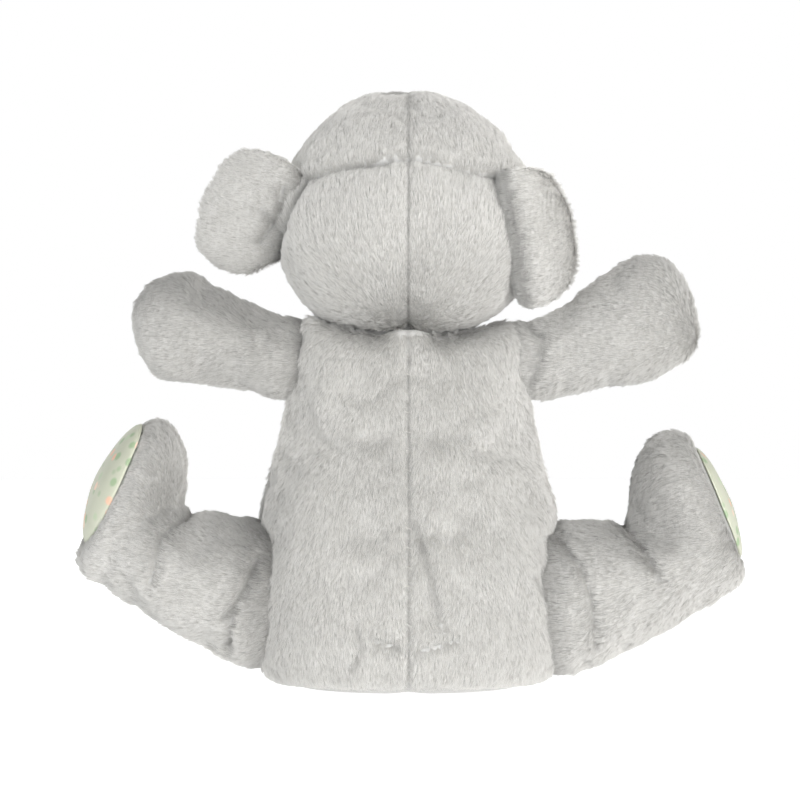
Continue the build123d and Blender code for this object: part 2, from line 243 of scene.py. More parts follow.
def outward(rows, side, count=70):
    """A closed body through upright sections that lead out to one side."""
    r = along_rows(rows, count)
    zero = np.zeros(count)
    return tube(np.column_stack([side * r[:, 0], zero, r[:, 3]]), np.column_stack([zero, zero, r[:, 1]]),
                np.column_stack([zero, side * r[:, 2], zero]))


def foot_axes(side):
    """The way that a sole looks, the way up it, and the way across it."""
    tilt, yaw = math.radians(FOOT_TILT[side]), math.radians(FOOT_YAW[side])
    way = np.array([side * math.cos(tilt) * math.cos(yaw), math.cos(tilt) * math.sin(yaw), math.sin(tilt)])
    across = np.cross((0, 0, 1), way)
    across /= np.linalg.norm(across)
    return way, np.cross(way, across), across


def on_side(place, side):
    """A place given for the left side, on either side."""
    x, y, z = place
    return np.array([side * x, y, z])


def lines_on_side(lines, side):
    """Lines of (out, height), as (x, z) on that side."""
    return [[(x * side, z) for x, z in line] for line in lines]


def sole_at(side):
    return on_side(FOOT_MIDDLE[side], side) + foot_axes(side)[1] * SOLE_UP[side]


def foot(side, count=60):
    r = along_rows(FOOT, count)
    way, up, across = foot_axes(side)
    middle = on_side(FOOT_MIDDLE[side], side)
    return tube(middle - r[:, :1] * FOOT_DEEP[side] * way, r[:, 1:2] * up, r[:, 2:3] * across)


def trunk_tube(count=70):
    r = along_rows(TRUNK, count)
    down = np.radians(r[:, 3])
    zero = np.zeros(count)
    up = np.column_stack([zero, -np.sin(down), np.cos(down)])
    across = np.column_stack([np.ones(count), zero, zero])
    return tube(np.column_stack([zero, r[:, 0], r[:, 1]]), r[:, 2:3] * across, r[:, 2:3] * up)


def new_mesh(name, shells):
    """One object from several closed shells of (vertices, faces)."""
    verts, faces = [], []
    for shell_verts, shell_faces in shells:
        start = len(verts)
        verts.extend(map(tuple, shell_verts))
        faces.extend(tuple(i + start for i in face) for face in shell_faces)
    mesh = bpy.data.meshes.new(name)
    mesh.from_pydata(verts, [], faces)
    work = bmesh.new()
    work.from_mesh(mesh)
    bmesh.ops.recalc_face_normals(work, faces=work.faces)
    work.to_mesh(mesh)
    work.free()
    obj = bpy.data.objects.new(name, mesh)
    bpy.context.scene.collection.objects.link(obj)
    return obj


def bake_modifiers(obj):
    """Replace the object's mesh with what its modifiers make of it."""
    bpy.context.view_layer.update()
    graph = bpy.context.evaluated_depsgraph_get()
    made = bpy.data.meshes.new_from_object(obj.evaluated_get(graph), depsgraph=graph)
    obj.modifiers.clear()
    old, obj.data = obj.data, made
    bpy.data.meshes.remove(old)
    made.name = obj.name


def remesh(obj, voxel_mm, rounds=4):
    """Even quads over the whole surface, with the edges between joined shells eased."""
    m = obj.modifiers.new("even", "REMESH")
    m.mode = "VOXEL"
    m.voxel_size = voxel_mm * MM
    s = obj.modifiers.new("ease", "SMOOTH")
    s.factor = 0.5
    s.iterations = rounds
    bake_modifiers(obj)


def subdivide(obj):
    m = obj.modifiers.new("fine", "SUBSURF")
    m.levels = m.render_levels = 1
    bake_modifiers(obj)


def read_vectors(collection, key):
    out = np.empty(len(collection) * 3)
    collection.foreach_get(key, out)
    return out.reshape(-1, 3)


def points(obj):
    """The object's vertices, in metres."""
    return read_vectors(obj.data.vertices, "co")


def corner_points(mesh):
    """Which vertex each face corner is at."""
    corners = np.empty(len(mesh.loops), int)
    mesh.loops.foreach_get("vertex_index", corners)
    return corners


def move_to(obj, co):
    obj.data.vertices.foreach_set("co", np.ascontiguousarray(co, np.float32).ravel())
    obj.data.update()


def push(obj, amount_mm):
    """Move every point along its normal."""
    normal = read_vectors(obj.data.vertices, "normal")
    move_to(obj, points(obj) + normal * (amount_mm * MM)[:, None])


def from_line(flat, line):
    """Distance in mm of flat points from a broken line."""
    best = np.full(len(flat), np.inf)
    for a, b in zip(line, line[1:]):
        a, b = np.array(a, float), np.array(b, float)
        t = np.clip((flat - a) @ (b - a) / ((b - a) @ (b - a)), 0, 1)
        best = np.minimum(best, np.linalg.norm(flat - a - t[:, None] * (b - a), axis=1))
    return best


def dip(distance, width, depth):
    """A valley along a line, with a low swell each side."""
    swell_at = 2.8 * width
    return -depth * bell(distance, width) + 0.2 * depth * bell(distance - swell_at, width)


def dark(distance, width, share):
    """How much light a narrow crease leaves, at some distance from its line."""
    return 1 - share * bell(distance, width)


def where_shown(distance, shown):
    """The distance from a line that only shows where shown is above 0."""
    return distance / np.maximum(shown, 0.01)


def add_creases(amount, light, flat, shown, lines, valley, shade):
    """The shape and the light with creases added. valley and shade are each a width and a strength."""
    for line in lines:
        distance = from_line(flat, line)
        amount = amount + shown * dip(distance, *valley)
        light = light * dark(where_shown(distance, shown), *shade)
    return amount, light


def held_by(seam, reach):
    """How firmly the skin is held at some distance from a seam, from 0 to 1."""
    return np.clip(SEAM_HOLD - seam / reach, 0, 1)


def looks_up(obj):
    """0 where the surface is upright or looks down, rising to 1 where it looks up."""
    return np.clip(read_vectors(obj.data.vertices, "normal")[:, 2] * 1.4 - 0.1, 0, 1)


def wander(co_mm, seed, reach=0.7):
    """How far a sewn line strays sideways."""
    return reach * lumps(co_mm, 26.0, seed)


def seen_from_behind(co_mm):
    return co_mm[:, [0, 2]]


def back_only(co_mm, start=-8.0, full=10.0):
    """0 on the front of the toy, rising to 1 on its back."""
    t = rise(co_mm[:, 1], start, full - start)
    return t * t * (3 - 2 * t)


def lumps(co_mm, size, seed):
    """Slow rises and falls, from -1 to 1, about one size apart."""
    rng = np.random.default_rng(seed)
    total = np.zeros(len(co_mm))
    waves = 9
    for _ in range(waves):
        way = rng.normal(size=3)
        way /= np.linalg.norm(way)
        wave_length = size * rng.uniform(0.7, 1.4)
        start = rng.uniform(0, 2 * math.pi)
        total += np.sin(co_mm @ way * 2 * math.pi / wave_length + start)
    return total / math.sqrt(waves) / 1.6


def inflate(obj, held, cap_mm=3.0):
    """Blow the skin up against its held seams, as filling does, and keep the result."""
    scene = bpy.context.scene
    before = points(obj)
    group = obj.vertex_groups.new(name="held")
    for i in np.flatnonzero(held > 0.02):
        group.add([int(i)], float(held[i]), "REPLACE")
    cloth = obj.modifiers.new("inflate", "CLOTH")
    s = cloth.settings
    s.quality = 4
    s.mass = 0.2
    s.tension_stiffness = s.compression_stiffness = 14
    s.shear_stiffness = 6
    s.bending_stiffness = 0.4
    s.effector_weights.gravity = 0
    s.use_pressure = True
    s.uniform_pressure_force = 4
    s.shrink_min = -0.03    # the cloth is cut a little large, so it can swell
    s.vertex_group_mass = "held"
    cloth.collision_settings.use_collision = False
    last = 20
    cloth.point_cache.frame_end = last
    for f in range(1, last + 1):
        scene.frame_set(f)
    graph = bpy.context.evaluated_depsgraph_get()
    swollen = read_vectors(obj.evaluated_get(graph).data.vertices, "co")
    obj.modifiers.remove(cloth)
    obj.vertex_groups.remove(group)
    scene.frame_set(1)
    shift = swollen - before
    length = np.linalg.norm(shift, axis=1)[:, None] / MM
    move_to(obj, before + shift * np.minimum(1, cap_mm / np.maximum(length, 1e-6)))


def finish_mesh(obj, material, light=None):
    """Set the material, and paint into the colour how much light reaches the bottom of the pile at each
    point, as painted shade.
    """
    mesh = obj.data
    corners = corner_points(mesh)
    value = np.ones(len(corners)) if light is None else np.clip(light, 0, 1)[corners]
    layer = mesh.color_attributes.new("shade", "BYTE_COLOR", "CORNER")
    layer.data.foreach_set("color", np.repeat(value, 4).astype(np.float32))
    mesh.materials.clear()
    mesh.materials.append(material)
    mesh.polygons.foreach_set("use_smooth", np.ones(len(mesh.polygons), bool))
    mesh.update()


# ---------------------------------------------------------------- pile
def turn_round(a, b):
    """The turn of flat coordinates, from 0 to 1."""
    return np.arctan2(a, b) / (2 * math.pi) + 0.5


def comb(obj, along_mm, around):
    """A UV map that the pile lies along. around is in turns, and may wrap."""
    mesh = obj.data
    corners = corner_points(mesh)
    u, v = around[corners], along_mm[corners] / NAP_MM
    starts = np.empty(len(mesh.polygons), int)
    mesh.polygons.foreach_get("loop_start", starts)
    face_of = np.repeat(np.arange(len(starts)), np.diff(np.append(starts, len(corners))))
    highest = np.full(len(starts), -np.inf)
    np.maximum.at(highest, face_of, u)
    u = np.where(highest[face_of] - u > 0.5, u + 1, u)
    layer = mesh.uv_layers.new(name="nap")
    layer.data.foreach_set("uv", np.column_stack([u, v]).astype(np.float32).ravel())


def fur(obj, share, seed, length_mm=4.2, lift=0.36, per_cm2=24.0):
    """Short combed pile. share is how long it is at each point, from 0 to 1; lift is how far it stands up."""
    group = obj.vertex_groups.new(name="pile")
    steps = np.round(share, 1)
    for value in np.unique(steps):
        chosen = np.flatnonzero(steps == value)
        group.add([int(i) for i in chosen], float(value), "REPLACE")
    area_cm2 = sum(p.area for p in obj.data.polygons) * 1e4
    obj.modifiers.new("pile", "PARTICLE_SYSTEM")
    system = obj.particle_systems[-1]
    system.seed = seed
    s = system.settings
    s.type = "HAIR"
    s.use_advanced_hair = True
    s.count = int(area_cm2 * per_cm2)
    s.hair_step = 3
    s.emit_from = "FACE"
    s.use_emit_random = True
    s.use_even_distribution = True
    speed = length_mm * MM / 4      # a strand is four times as long as its starting speed
    s.normal_factor = lift * speed
    s.tangent_factor = math.sqrt(1 - lift * lift) * speed
    s.tangent_phase = 1.0
    s.factor_random = 0.16 * speed
    s.child_type = "INTERPOLATED"
    s.rendered_child_count = 26
    s.clump_factor = 0.1
    s.roughness_1 = 0.0004
    s.roughness_1_size = 0.01
    s.roughness_2 = 0.0004
    s.roughness_endpoint = 0.0005
    s.child_length = 1.0
    s.render_step = 2
    s.display_step = 2
    s.root_radius = 1.0
    s.tip_radius = 0.3
    s.radius_scale = 0.00012
    obj.data.materials.append(PILE)
    s.material = len(obj.data.materials)
    system.vertex_group_length = "pile"


# ---------------------------------------------------------------- materials
class Nodes:
    """A small helper for building a node material."""

    def __init__(self, name, roughness, sheen=0.0):
        self.material = bpy.data.materials.new(name)
        self.material.use_nodes = True
        self.tree = self.material.node_tree
        self.shader = self.tree.nodes["Principled BSDF"]
        self.shader.inputs["Roughness"].default_value = roughness
        self.shader.inputs["Sheen Weight"].default_value = sheen
        self.shader.inputs["Specular IOR Level"].default_value = 0.2
        self.coordinates = self.add("ShaderNodeTexCoord").outputs["Object"]

    def add(self, kind, **values):
        node = self.tree.nodes.new(kind)
        for key, value in values.items():
            setattr(node, key, value)
        return node

    def link(self, a, b):
        self.tree.links.new(a, b)

    def noise(self, scale, detail=3.0, stretch=(1, 1, 1)):
        spread = self.add("ShaderNodeMapping")
        spread.inputs["Scale"].default_value = stretch
        self.link(self.coordinates, spread.inputs["Vector"])
        node = self.add("ShaderNodeTexNoise")
        node.inputs["Scale"].default_value = scale
        node.inputs["Detail"].default_value = detail
        self.link(spread.outputs[0], node.inputs["Vector"])
        return node.outputs["Fac"]

    def ramp(self, source, stops):
        node = self.add("ShaderNodeValToRGB")
        band = node.color_ramp
        while len(band.elements) < len(stops):
            band.elements.new(0.5)
        for element, (place, colour) in zip(band.elements, stops):
            element.position = place
            element.color = (*colour, 1)
        self.link(source, node.inputs["Fac"])
        return node.outputs["Color"]

    def mix(self, share, a, b, how="MIX"):
        """Two colours mixed; the share is a number or a socket."""
        node = self.add("ShaderNodeMix", data_type="RGBA", blend_type=how)
        share_in, a_in, b_in = node.inputs[0], node.inputs[6], node.inputs[7]
        if isinstance(share, float):
            share_in.default_value = share
        else:
            self.link(share, share_in)
        self.link(a, a_in)
        self.link(b, b_in)
        return node.outputs[2]

    def wave(self, scale, direction="X"):
        node = self.add("ShaderNodeTexWave", bands_direction=direction)
        node.inputs["Scale"].default_value = scale
        self.link(self.coordinates, node.inputs["Vector"])
        return node.outputs["Fac"]

    def bump(self, height, distance_mm, strength):
        node = self.add("ShaderNodeBump")
        node.inputs["Strength"].default_value = strength
        node.inputs["Distance"].default_value = distance_mm * MM
        self.link(height, node.inputs["Height"])
        self.link(node.outputs[0], self.shader.inputs["Normal"])

    def colour(self, socket):
        self.link(socket, self.shader.inputs["Base Color"])


def plush_material(name, low, high, strands=False):
    """Pale grey plush; low and high are how light its darker and lighter places are.

    The colour is multiplied by the painted shade in the shade layer. Strands differ a little from each other,
    and are painted darker at the root, a painted shade deep in the pile.
    """
    n = Nodes(name, 0.85, sheen=0.35)
    n.shader.inputs["Sheen Roughness"].default_value = 0.5
    n.shader.inputs["Sheen Tint"].default_value = (1, 0.98, 0.95, 1)
    hue = np.array([1.0, 0.998, 0.980])
    broad = n.ramp(n.noise(22, 2), [(0.3, tuple(hue * low)), (0.7, tuple(hue * high))])
    fine = n.ramp(n.noise(500, 3), [(0.25, (0.86, 0.86, 0.86)), (0.75, (1, 1, 1))])
    tone_and_painted_shade = n.mix(0.35, broad, fine, "MULTIPLY")
    shade = n.add("ShaderNodeVertexColor", layer_name="shade")
    tone_and_painted_shade = n.mix(1.0, tone_and_painted_shade, shade.outputs["Color"], "MULTIPLY")
    if strands:
        hair = n.add("ShaderNodeHairInfo")
        each = n.ramp(hair.outputs["Random"], [(0.0, (0.88, 0.87, 0.85)), (1.0, (1, 1, 1))])
        root = n.ramp(hair.outputs["Intercept"], [(0.0, (0.50, 0.49, 0.47)), (0.6, (1, 1, 1))])
        tone_and_painted_shade = n.mix(1.0, n.mix(1.0, tone_and_painted_shade, each, "MULTIPLY"), root, "MULTIPLY")
    n.colour(tone_and_painted_shade)
    n.bump(n.noise(620, 4, (1, 1, 0.4)), 0.8, 0.6)
    return n.material


def print_material():
    """Woven cotton with a small print of dots in green and peach on cream."""
    n = Nodes("printed_cotton", 0.8, sheen=0.1)
    cells = n.add("ShaderNodeTexVoronoi")
    cells.inputs["Scale"].default_value = 140
    cells.inputs["Randomness"].default_value = 0.8
    n.link(n.coordinates, cells.inputs["Vector"])
    dot = n.ramp(cells.outputs["Distance"], [(0.24, (1, 1, 1)), (0.40, (0, 0, 0))])
    split = n.add("ShaderNodeSeparateColor")
    n.link(cells.outputs["Color"], split.inputs[0])
    green, pale_green = (0.36, 0.47, 0.30), (0.50, 0.58, 0.42)
    peach, pale_peach = (0.80, 0.50, 0.36), (0.82, 0.62, 0.50)
    hue = n.ramp(split.outputs[0], [(0.0, green), (0.45, pale_green), (0.62, peach), (0.85, pale_peach)])
    hue.node.color_ramp.interpolation = "CONSTANT"
    cream = n.ramp(n.noise(60, 2), [(0.3, (0.53, 0.55, 0.44)), (0.7, (0.58, 0.60, 0.49))])
    n.colour(n.mix(dot, cream, hue))
    fineness = 700
    weave = n.add("ShaderNodeMath", operation="MULTIPLY")
    n.link(n.wave(fineness), weave.inputs[0])
    n.link(n.wave(fineness, "Z"), weave.inputs[1])
    n.bump(weave.outputs[0], 0.15, 0.6)
    return n.material


def thread_material():
    n = Nodes("thread", 0.7, sheen=0.2)
    n.colour(n.ramp(n.noise(900, 2), [(0.3, (0.50, 0.49, 0.47)), (0.7, (0.60, 0.59, 0.57))]))
    n.bump(n.wave(500, "DIAGONAL"), 0.15, 0.8)
    return n.material


def eye_material():
    n = Nodes("eye_plastic", 0.12)
    n.shader.inputs["Specular IOR Level"].default_value = 0.6
    n.shader.inputs["Coat Weight"].default_value = 0.8
    n.shader.inputs["Coat Roughness"].default_value = 0.05
    n.colour(n.ramp(n.noise(160, 2), [(0.3, (0.010, 0.008, 0.007)), (0.7, (0.020, 0.014, 0.010))]))
    n.bump(n.noise(300, 2), 0.02, 0.3)
    return n.material


PLUSH = plush_material("plush", 0.46, 0.52)
PILE = plush_material("pile", 0.80, 0.86, strands=True)
PRINT = print_material()
THREAD = thread_material()
EYE = eye_material()


# ---------------------------------------------------------------- sewn parts
def inside_head(co_mm, nod_degrees, gap_mm):
    """Whether each point is inside the head, swelled by the gap, after the head has nodded."""
    turn = math.radians(nod_degrees)
    y, z = co_mm[:, 1] - NOD_AT[0], co_mm[:, 2] - NOD_AT[1]
    back_y = NOD_AT[0] + y * math.cos(turn) + z * math.sin(turn)
    back_z = NOD_AT[1] - y * math.sin(turn) + z * math.cos(turn)
    height, *columns = along_rows(HEAD, 160).T
    thin = 0.1
    half_wide, half_deep, centre = (np.interp(back_z + gap_mm, height, c, thin, thin) for c in columns)
    across = co_mm[:, 0] / (half_wide + gap_mm)
    return across ** 2 + ((back_y - centre) / (half_deep + gap_mm)) ** 2 < 1


def ease(obj, share, rounds):
    """Draw each point towards the middle of its neighbours, by its share."""
    mesh = obj.data
    ends = np.empty(len(mesh.edges) * 2, int)
    mesh.edges.foreach_get("vertices", ends)
    a, b = ends.reshape(-1, 2).T
    co = points(obj)
    neighbours = np.bincount(ends, minlength=len(co))[:, None]
    for _ in range(rounds):
        total = np.zeros_like(co)
        np.add.at(total, a, co[b])
        np.add.at(total, b, co[a])
        co += (total / neighbours - co) * share[:, None]
    move_to(obj, co)


def sit_under_head(skin, gap_mm=0.8):
    """Press the top of the body into the dish that the head rests and nods in."""
    co = points(skin)
    chest, steps, step = 150, 60, 0.4
    for nod in NODS:
        for _ in range(steps):
            hit = (co[:, 2] > chest * MM) & inside_head(co / MM, nod, gap_mm)
            co[:, 2] -= step * MM * hit
    move_to(skin, co)
    ease(skin, np.minimum(rise(co[:, 2] / MM, 168, 8), 0.5), 5)


def make_torso():
    skin = new_mesh("torso_skin", [upright(TORSO)])
    remesh(skin, VOXEL_MM["body"])
    sit_under_head(skin)
    co = points(skin) / MM
    side_seam = np.abs(co[:, 1]) + 0.02 * np.maximum(0, 40 - co[:, 2])
    seat_edge = np.abs(np.hypot(co[:, 0] / 60, (co[:, 1] + 1) / 45) - 1) * 50
    seat_seam = seat_edge + np.where(co[:, 2] > 8, FAR_MM, 0)
    nearest = np.minimum(np.minimum(np.abs(co[:, 0]), side_seam), seat_seam)
    push(skin, -1.2 * bell(nearest, 5))
    inflate(skin, np.maximum(held_by(nearest, 3.0), co[:, 2] < 3))
    subdivide(skin)
    co = points(skin) / MM
    middle_seam = np.abs(co[:, 0] + wander(co, 6))
    amount, light = torso_surface(co, middle_seam)
    push(skin, amount * rise(co[:, 2], 2, 8))
    sit_under_head(skin)
    co = points(skin) / MM
    finish_mesh(skin, PLUSH, light)
    comb(skin, -co[:, 2], turn_round(co[:, 0], co[:, 1]))
    pile = 0.4 + 0.6 * rise(middle_seam, 0.6, 3)
    pile *= rise(co[:, 2], 2.5, 8)
    pile *= np.where(inside_head(co, 0, 4), 0.15, 1)
    fur(skin, pile, seed=1)
    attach(skin, "torso")
    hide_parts("back_panel_left", "back_panel_right", "belly_panel_left", "belly_panel_right",
                "seat_panel", "body_filling", "pellet_bag", "pellets")
    return skin


def torso_surface(co, middle_seam):
    """How far each point of the torso moves out, and its light: painted shade along the seam, darts, folds
    and wrinkles, and a painted shadow in the nape hollows under the head.
    """
    flat = seen_from_behind(co)
    behind = back_only(co)
    amount = dip(middle_seam, 1.6, 1.8)
    amount += dip(np.abs(co[:, 1] + 1), 1.8, 1.6) * (np.abs(co[:, 0]) > 20)
    light = dark(middle_seam, 1.0, 0.16 + 0.1 * lumps(co, 40, 7))
    for shown, lines, valley, shade in (
            (behind, DARTS, (1.8, 2.0), (1.4, 0.4)),
            (behind, [BACK_FOLD], (4.0, 2.2), (2.5, 0.18)),
            (1.0, NAPE_HOLLOWS, (6.0, 5.0), (7.0, 0.6)),
            (behind, WRINKLES, (2.0, 1.2), (1.4, 0.22))):
        amount, light = add_creases(amount, light, flat, shown, lines, valley, shade)
    gathers = bell(np.abs(co[:, 0]), 9) * lumps(co * (0.5, 0.5, 1.6), 11, 5)
    amount += 0.9 * lumps(co, 70, 3) + 0.3 * lumps(co, 24, 4) + 0.4 * gathers
    return amount, light


def make_head():
    skin = new_mesh("head_skin", [upright(HEAD)])
    remesh(skin, VOXEL_MM["body"])
    co = points(skin) / MM
    cross_seam = np.where(co[:, 1] > -12, from_line(seen_from_behind(co), HEAD_SEAM), FAR_MM)
    nearest = np.minimum(np.abs(co[:, 0]), cross_seam)
    push(skin, -1.2 * bell(nearest, 5))
    inflate(skin, held_by(nearest, 3.0))
    subdivide(skin)
    co = points(skin) / MM
    flat = seen_from_behind(co)
    middle_seam = np.abs(co[:, 0] + wander(co, 16, reach=0.4))
    cross_seam = from_line(flat + wander(co, 17)[:, None], HEAD_SEAM)
    cross_seam = where_shown(cross_seam, back_only(co, -14, 0))
    amount = dip(middle_seam, 1.6, 1.4) * fall(co[:, 2], 284, 20)
    amount += dip(cross_seam, 1.7, 1.7)
    # Painted shade along the seams, and darker low on the head where it meets the torso.
    light = dark(middle_seam, 1.0, 0.16 + 0.08 * lumps(co, 30, 18))
    light *= dark(cross_seam, 1.5, 0.36 + 0.2 * lumps(co, 26, 19))
    light *= 1 - 0.08 * fall(co[:, 2], 192, 10)
    amount += 0.8 * lumps(co, 60, 13) + 0.3 * lumps(co, 22, 14)
    push(skin, amount)
    co = points(skin) / MM
    finish_mesh(skin, PLUSH, light)
    whorl = np.array([0, -0.15, 0.989])     # the pile lies away from here, near the top of the head
    front_way = np.array([0, -0.989, -0.15])
    off = co - np.array([0, -1, 240])
    comb(skin, -off @ whorl, turn_round(co[:, 0], off @ front_way))
    pile = 0.6 + 0.4 * rise(np.minimum(middle_seam, cross_seam), 0.6, 3)
    fur(skin, pile, seed=2)
    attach(skin, "head")
    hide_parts("head_back_panel_left", "head_back_panel_right", "face_panel_left", "face_panel_right",
                "head_filling", "eye_washer_left", "eye_washer_right")
    return skin


def make_neck():
    skin = new_mesh("neck_skin", [upright(NECK, 50)])
    remesh(skin, VOXEL_MM["body"])
    subdivide(skin)
    co = points(skin) / MM
    push(skin, 0.5 * lumps(co, 20, 21))
    # Painted shadow: the neck is painted dark all over, as the gap under the head is in shade.
    finish_mesh(skin, PLUSH, np.full(len(co), 0.4))
    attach(skin, "neck")
    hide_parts("neck_filling")


def make_arm(side):
    name = NAMES[side]
    skin = new_mesh(f"arm_skin_{name}", [outward(ARM[side], side)])
    remesh(skin, VOXEL_MM["limb"])
    co = points(skin) / MM
    out = co[:, 0] * side
    seam = np.abs(co[:, 1])
    push(skin, -1.0 * bell(seam, 4) * (out > 60))
    inflate(skin, np.maximum(held_by(seam, 2.5) * 0.9, out < 62), cap_mm=2.5)
    subdivide(skin)
    co = points(skin) / MM
    out = co[:, 0] * side
    amount = dip(np.abs(co[:, 1]), 1.6, 1.3) * rise(out, 58, 10)
    # Painted shade: darker at the root and in the creases.
    light = 1 - 0.2 * fall(out, 60, 8)
    lines = lines_on_side(ARM_CREASES[side], side)
    amount, light = add_creases(amount, light, seen_from_behind(co), back_only(co, -6, 6), lines,
                                (2.5, 1.6), (2.4, 0.4))
    amount += 0.7 * lumps(co, 40, 30 + side) + 0.3 * lumps(co, 16, 33 + side)
    push(skin, amount)
    # Painted shade where the arm looks up, and the painted light of the whole arm.
    light *= ARM_PAINTED_LIGHT[side] * (1 - ARM_TOP_SHADE[side] * looks_up(skin))
    co = points(skin) / MM
    out = co[:, 0] * side
    finish_mesh(skin, PLUSH, light)
    comb(skin, out, turn_round(co[:, 2] - 174, co[:, 1]))
    pile = rise(out, 46, 6) * (0.5 + 0.5 * rise(np.abs(co[:, 1]), 0.8, 4))
    fur(skin, pile, seed=40 + side)
    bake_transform(skin)
    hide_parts(f"arm_back_panel_{name}", f"arm_front_panel_{name}", f"arm_filling_{name}")


def sole_measures(side, co):
    """How deep each point is behind the sole, how near the sole's rim, and whether it is under the sole."""
    way, up, across = foot_axes(side)
    inside = (on_side(FOOT_MIDDLE[side], side) - co) @ way
    off = co - sole_at(side)
    half_long, half_wide = SOLE_HALF[side]
    edge = np.hypot(off @ up / (half_long + 1.7), off @ across / (half_wide + 1.4))
    rim = np.hypot(inside - 1.0, (edge - 1) * 30)
    return inside, rim, (inside < 3.0) & (edge < 0.97)


def make_leg(side):
    name = NAMES[side]
    skin = new_mesh(f"leg_skin_{name}", [outward(LEG[side], side), foot(side)])
    remesh(skin, VOXEL_MM["limb"], rounds=6)
    co = points(skin) / MM
    out = co[:, 0] * side
    _, rim, on_sole = sole_measures(side, co)
    seam = np.abs(co[:, 1])
    push(skin, -0.9 * bell(seam, 4) * (out > 80))
    inflate(skin, np.maximum(held_by(seam, 2.5) * 0.9, (out < 80) | on_sole | (rim < 6)))
    subdivide(skin)
    co = points(skin) / MM
    amount, light = leg_surface(side, co)
    push(skin, amount)
    light *= leg_shade(side, co, looks_up(skin))
    co = points(skin) / MM
    out = co[:, 0] * side
    _, rim, on_sole = sole_measures(side, co)
    finish_mesh(skin, PLUSH, light)
    slope = 0.35            # how steeply the pile lies down the leg
    comb(skin, out + slope * co[:, 2], turn_round(co[:, 2] - 55 - slope * out / 2, co[:, 1]))
    pile = rise(out, 60, 6) * rise(co[:, 2], 3, 5)
    pile *= np.where(on_sole, 0, np.clip(rim / 10, 0.65, 1))
    fur(skin, pile, seed=60 + side)
    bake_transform(skin)
    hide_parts(f"leg_back_panel_{name}", f"leg_front_panel_{name}", f"leg_filling_{name}")


def leg_surface(side, co):
    """How far each point of the leg moves out, and its painted shade at the root and in the creases."""
    out = co[:, 0] * side
    _, rim, on_sole = sole_measures(side, co)
    amount = dip(np.abs(co[:, 1]), 1.6, 1.2) * rise(out, 84, 10) * ~on_sole
    amount += dip(rim, 1.8, 0.5)
    light = 1 - 0.22 * fall(out, 84, 10)
    lines = lines_on_side(HIP_CREASES[side] + ANKLE_CREASES[side], side)
    flat = seen_from_behind(co) + wander(co, 57)[:, None]
    amount, light = add_creases(amount, light, flat, back_only(co, -20, 0), lines, (2.2, 2.2), (1.7, 0.42))
    amount += (0.8 * lumps(co, 45, 50 + side) + 0.3 * lumps(co, 17, 53 + side)) * rise(rim, 0, 10)
    return amount, light


def leg_shade(side, co, tops):
    """The painted shade of the pile on the leg's top, root and instep, and the painted light of the whole
    leg.
    """
    out = co[:, 0] * side
    inside = sole_measures(side, co)[0]
    instep = rise(inside, 12, 14) * rise(co[:, 2], 66, 14) * rise(out, 100, 10)
    root = fall(out, 100, 22)
    shade = (1 - LEG_TOP_SHADE[side] * tops) * (1 - LEG_ROOT_SHADE[side] * tops * root)
    return LEG_PAINTED_LIGHT[side] * shade * (1 - INSTEP_SHADE[side] * instep)


def lens_pattern(rings, columns):
    """The (share out, turn, face) of each vertex of a closed lens, and its faces.

    face is 1 above and -1 below; the rim is shared.
    """
    spots, faces = [], []
    index = {}

    def vertex(ring, column, face):
        key = (0, 0, face) if ring == 0 else (ring, column % columns, 0 if ring == rings else face)
        if key not in index:
            index[key] = len(spots)
            spots.append((ring / rings, key[1] / columns * 2 * math.pi, face))
        return index[key]

    for face in (1, -1):
        for ring in range(rings):
            for column in range(columns):
                a, b = vertex(ring, column, face), vertex(ring, column + 1, face)
                c, d = vertex(ring + 1, column + 1, face), vertex(ring + 1, column, face)
                corners = [a, b, c, d] if face < 0 else [d, c, b, a]
                faces.append(tuple(dict.fromkeys(corners)))
    return spots, faces


def lens(rings, columns, point_at):
    """A closed lens; point_at(share out, turn, face) gives each point."""
    spots, faces = lens_pattern(rings, columns)
    return np.array([point_at(*spot) for spot in spots]), faces


def make_sole(side):
    name = NAMES[side]
    way, up, across = foot_axes(side)
    middle = sole_at(side)
    half_long, half_wide = SOLE_HALF[side]

    def point_at(share, turn, face):
        flat = (up * math.cos(turn) * half_long + across * math.sin(turn) * half_wide) * share
        crown = SOLE_BULGE[side] * (1 - share ** 2.2) ** 0.75
        height = crown if face > 0 else -1.5 * (1 - share)
        return (middle + flat + way * (height - SOLE_SINK)) * MM

    sole = new_mesh(f"sole_{name}", [lens(22, 96, point_at)])
    co = points(sole) / MM
    push(sole, 0.35 * lumps(co, 22, 70 + side))
    finish_mesh(sole, PRINT)
    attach(sole, f"leg_{name}")
    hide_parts(f"sole_pad_{name}")


def make_trunk():
    skin = new_mesh("trunk_skin", [trunk_tube()])
    remesh(skin, VOXEL_MM["trunk"])
    subdivide(skin)
    co = points(skin) / MM
    path = -co[:, 1] * 0.62 - (co[:, 2] - TRUNK_ROOT) * 0.78
    ripple = np.sin(path / 8.5 * 2 * math.pi) * rise(path, 45, 12) * fall(path, 118, 10)
    amount = 0.28 * ripple + 0.5 * lumps(co, 28, 80)
    amount += dip(np.abs(co[:, 0]), 1.5, 0.9) * (co[:, 1] < -70)
    push(skin, amount)
    co = points(skin) / MM
    finish_mesh(skin, PLUSH)
    comb(skin, path, turn_round(co[:, 0], co[:, 2] - TRUNK_ROOT - co[:, 1] - 60))
    fur(skin, fall(co[:, 1], -56, 8), seed=80)
    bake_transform(skin)
    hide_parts("trunk_panel_left", "trunk_panel_right", "trunk_under_panel", "trunk_filling")


